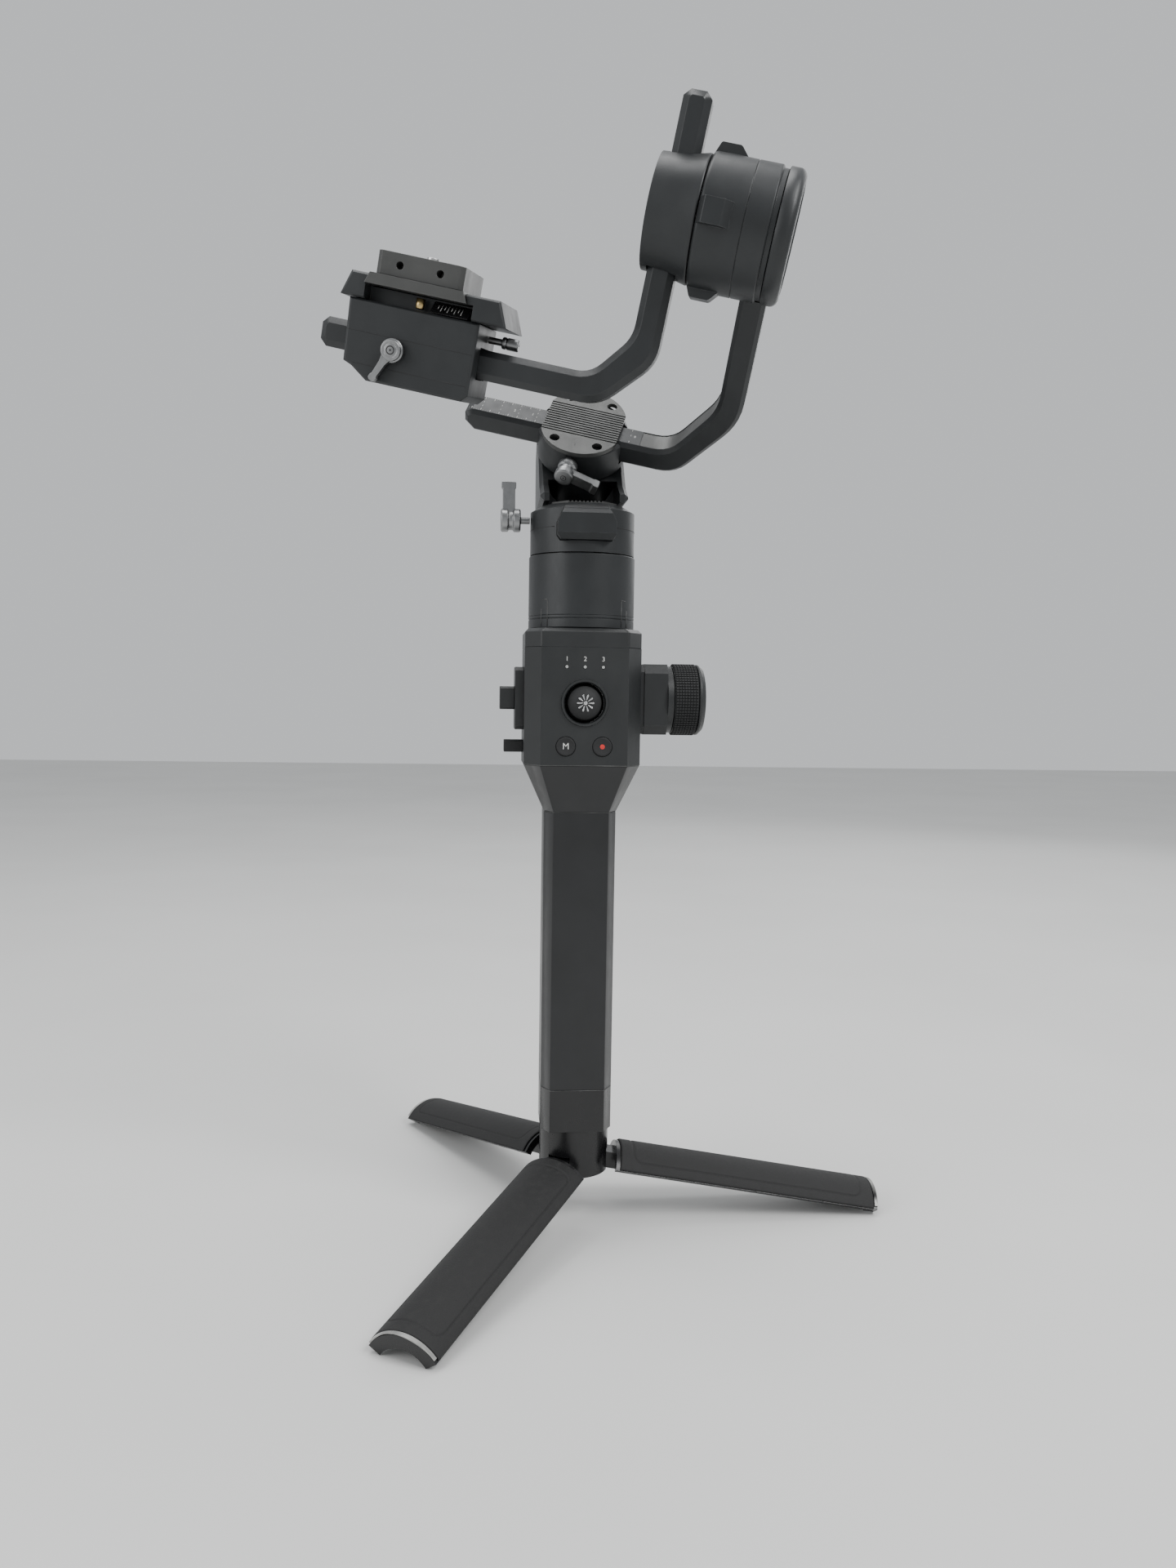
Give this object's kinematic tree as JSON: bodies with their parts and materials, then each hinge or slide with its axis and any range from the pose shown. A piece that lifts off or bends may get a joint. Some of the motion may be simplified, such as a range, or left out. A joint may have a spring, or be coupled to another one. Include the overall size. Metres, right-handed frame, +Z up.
{
  "type": "camera gimbal",
  "caption": "Hand-held three-axis camera gimbal standing on a folding mini tripod, with a control grip, three motors, sliding balance arms with lock levers and a sliding camera plate.",
  "frame": {"origin": "at the level of the table the three leg tips stand on, under the middle of the whole gimbal's bounding box; the grip's long axis is 20.27 mm to the left of it, at x = -0.02027 m", "axes": "+Z up along the grip, -Y towards the operator's side with the joystick and buttons, +X towards the focus wheel"},
  "size_m": [0.3016, 0.3108, 0.552],
  "materials": {
    "grip_black": "satin black",
    "gloss_black": "gloss black",
    "shell_black": "fine matt black",
    "anodised_black": "satin black anodised",
    "anodised_grey": "satin dark grey anodised",
    "rubber_black": "fine grained black",
    "lever_silver": "satin silver",
    "steel": "plain",
    "copper_winding": "wound wire",
    "board_green": "circuit board",
    "cell_wrap": "shrink wrapped cells",
    "light_lens": "milky"
  },
  "bodies": {
    "handle": {"tripod_hub": "gloss_black", "leg_pin_front": "steel", "leg_pin_right": "steel", "leg_pin_rear": "steel", "tripod_screw": "steel", "grip_end": "gloss_black", "grip_tube": "grip_black", "battery_pack": "cell_wrap", "grip_collar": "grip_black", "housing_front": "shell_black", "housing_rear": "shell_black", "housing_cap": "shell_black", "main_board": "board_green", "status_lens": "light_lens", "focus_mount": "shell_black", "accessory_rail": "shell_black", "pan_motor_housing": "anodised_black", "pan_stator": "copper_winding"},
    "front_leg": {"leg_front": "gloss_black", "leg_pad_front": "rubber_black"},
    "right_leg": {"leg_right": "gloss_black", "leg_pad_right": "rubber_black"},
    "rear_leg": {"leg_rear": "gloss_black", "leg_pad_rear": "rubber_black"},
    "joystick_ring": {"joystick_gimbal": "steel"},
    "joystick": {"joystick_cap": "rubber_black"},
    "mode_key": {"mode_button": "rubber_black"},
    "record_key": {"record_button": "rubber_black"},
    "trigger_key": {"trigger": "shell_black"},
    "focus_dial": {"focus_wheel": "shell_black", "focus_band": "rubber_black"},
    "accessory_key": {"accessory_latch": "shell_black"},
    "port_cover": {"port_plug": "rubber_black"},
    "pan_stage": {"pan_rotor": "steel", "pan_clamp": "anodised_black", "pan_clamp_plate": "anodised_grey"},
    "pan_lock": {"pan_lever": "lever_silver"},
    "pan_slider": {"pan_arm": "anodised_black", "roll_motor_housing": "anodised_black", "roll_stator": "copper_winding"},
    "roll_stage": {"roll_rotor": "steel", "roll_clamp": "anodised_black", "roll_clamp_plate": "anodised_grey"},
    "roll_lock": {"roll_lever": "lever_silver"},
    "roll_slider": {"roll_arm": "anodised_black", "arm_inlay": "anodised_grey", "tilt_motor_housing": "anodised_black", "tilt_motor_cap": "anodised_black", "tilt_stator": "copper_winding"},
    "tilt_stage": {"tilt_rotor": "steel", "tilt_clamp": "anodised_black"},
    "tilt_lock": {"tilt_lever": "lever_silver"},
    "bracket": {"tilt_bracket": "anodised_black"},
    "camera_base": {"base_clamp": "anodised_black", "plate_receiver": "anodised_black"},
    "base_lock": {"base_lever": "lever_silver"},
    "plate_lock": {"plate_knob": "steel"},
    "camera_mount": {"camera_plate": "anodised_grey", "camera_riser": "anodised_grey"},
    "mounting_screw": {"camera_screw": "steel"}
  },
  "joints": [
    {"name": "front_leg_fold", "type": "hinge", "parent": "handle", "child": "front_leg", "pos_m": [-0.02627, -0.01039, 0.0321], "axis": [0.866, -0.5, 0], "range_deg": [0, 80]},
    {"name": "right_leg_fold", "type": "hinge", "parent": "handle", "child": "right_leg", "pos_m": [-0.00827, 0, 0.0321], "axis": [0, 1, 0], "range_deg": [0, 80]},
    {"name": "rear_leg_fold", "type": "hinge", "parent": "handle", "child": "rear_leg", "pos_m": [-0.02627, 0.01039, 0.0321], "axis": [-0.866, -0.5, 0], "range_deg": [0, 80]},
    {"name": "joystick_pitch", "type": "hinge", "parent": "handle", "child": "joystick_ring", "pos_m": [-0.02027, -0.024, 0.2835], "axis": [1, 0, 0], "range_deg": [-12, 12]},
    {"name": "joystick_yaw", "type": "hinge", "parent": "joystick_ring", "child": "joystick", "pos_m": [-0.02027, -0.024, 0.2835], "axis": [0, 0, 1], "range_deg": [-12, 12]},
    {"name": "mode_button_press", "type": "slide", "parent": "handle", "child": "mode_key", "axis": [0, 1, 0], "range_m": [0, 0.0005]},
    {"name": "record_button_press", "type": "slide", "parent": "handle", "child": "record_key", "axis": [0, 1, 0], "range_m": [0, 0.0005]},
    {"name": "trigger_pull", "type": "hinge", "parent": "handle", "child": "trigger_key", "pos_m": [-0.02027, 0.0346, 0.291], "axis": [-1, 0, 0], "range_deg": [0, 6]},
    {"name": "focus_wheel_turn", "type": "hinge", "parent": "handle", "child": "focus_dial", "pos_m": [0.01123, 0, 0.2857], "axis": [1, 0, 0], "continuous": true},
    {"name": "accessory_latch_slide", "type": "slide", "parent": "handle", "child": "accessory_key", "axis": [0, 0, 1], "range_m": [-0.004, 0.004]},
    {"name": "port_plug_pull", "type": "slide", "parent": "handle", "child": "port_cover", "axis": [-1, 0, 0], "range_m": [0, 0.006]},
    {"name": "pan_turn", "type": "hinge", "parent": "handle", "child": "pan_stage", "pos_m": [-0.02027, 0, 0.361], "axis": [0, 0, 1], "continuous": true},
    {"name": "pan_lever_turn", "type": "hinge", "parent": "pan_stage", "child": "pan_lock", "pos_m": [-0.05527, 0, 0.3795], "axis": [-1, 0, 0], "range_deg": [-95, 95]},
    {"name": "pan_arm_slide", "type": "slide", "parent": "pan_stage", "child": "pan_slider", "axis": [0, 1, 0], "range_m": [-0.002, 0.018]},
    {"name": "roll_turn", "type": "hinge", "parent": "pan_slider", "child": "roll_stage", "pos_m": [-0.02027, 0.001, 0.4325], "axis": [0, -0.766, 0.6428], "range_deg": [-30, 40]},
    {"name": "roll_lever_turn", "type": "hinge", "parent": "roll_stage", "child": "roll_lock", "pos_m": [-0.02975, -0.01118, 0.40554], "axis": [0.284, 0.6163, 0.7345], "range_deg": [-80, 2]},
    {"name": "roll_arm_slide", "type": "slide", "parent": "roll_stage", "child": "roll_slider", "axis": [0.9588, -0.1826, -0.2176], "range_m": [-0.01, 0.028]},
    {"name": "tilt_turn", "type": "hinge", "parent": "roll_slider", "child": "tilt_stage", "pos_m": [0.03918, -0.10224, 0.49615], "axis": [0.9588, -0.1826, -0.2176], "range_deg": [-100, 100]},
    {"name": "tilt_lever_turn", "type": "hinge", "parent": "tilt_stage", "child": "tilt_lock", "pos_m": [0.01765, -0.0682, 0.50831], "axis": [0.2253, 0.9553, 0.1914], "range_deg": [-45, 90]},
    {"name": "bracket_slide", "type": "slide", "parent": "tilt_stage", "child": "bracket", "axis": [0.1729, -0.2326, 0.9571], "range_m": [-0.018, 0.016]},
    {"name": "base_slide", "type": "slide", "parent": "bracket", "child": "camera_base", "axis": [0.9588, -0.1826, -0.2176], "range_m": [-0.012, 0.036]},
    {"name": "base_lever_turn", "type": "hinge", "parent": "camera_base", "child": "base_lock", "pos_m": [-0.11572, -0.07824, 0.44376], "axis": [0.2253, 0.9553, 0.1914], "range_deg": [-90, 90]},
    {"name": "plate_knob_turn", "type": "hinge", "parent": "camera_base", "child": "plate_lock", "pos_m": [-0.06756, -0.06435, 0.45359], "axis": [0.9588, -0.1826, -0.2176], "continuous": true},
    {"name": "plate_slide", "type": "slide", "parent": "camera_base", "child": "camera_mount", "axis": [0.2253, 0.9553, 0.1914], "range_m": [-0.018, 0.018]},
    {"name": "camera_screw_turn", "type": "hinge", "parent": "camera_mount", "child": "mounting_screw", "pos_m": [-0.09891, -0.06597, 0.47766], "axis": [0.1729, -0.2326, 0.9571], "continuous": true}
  ]
}
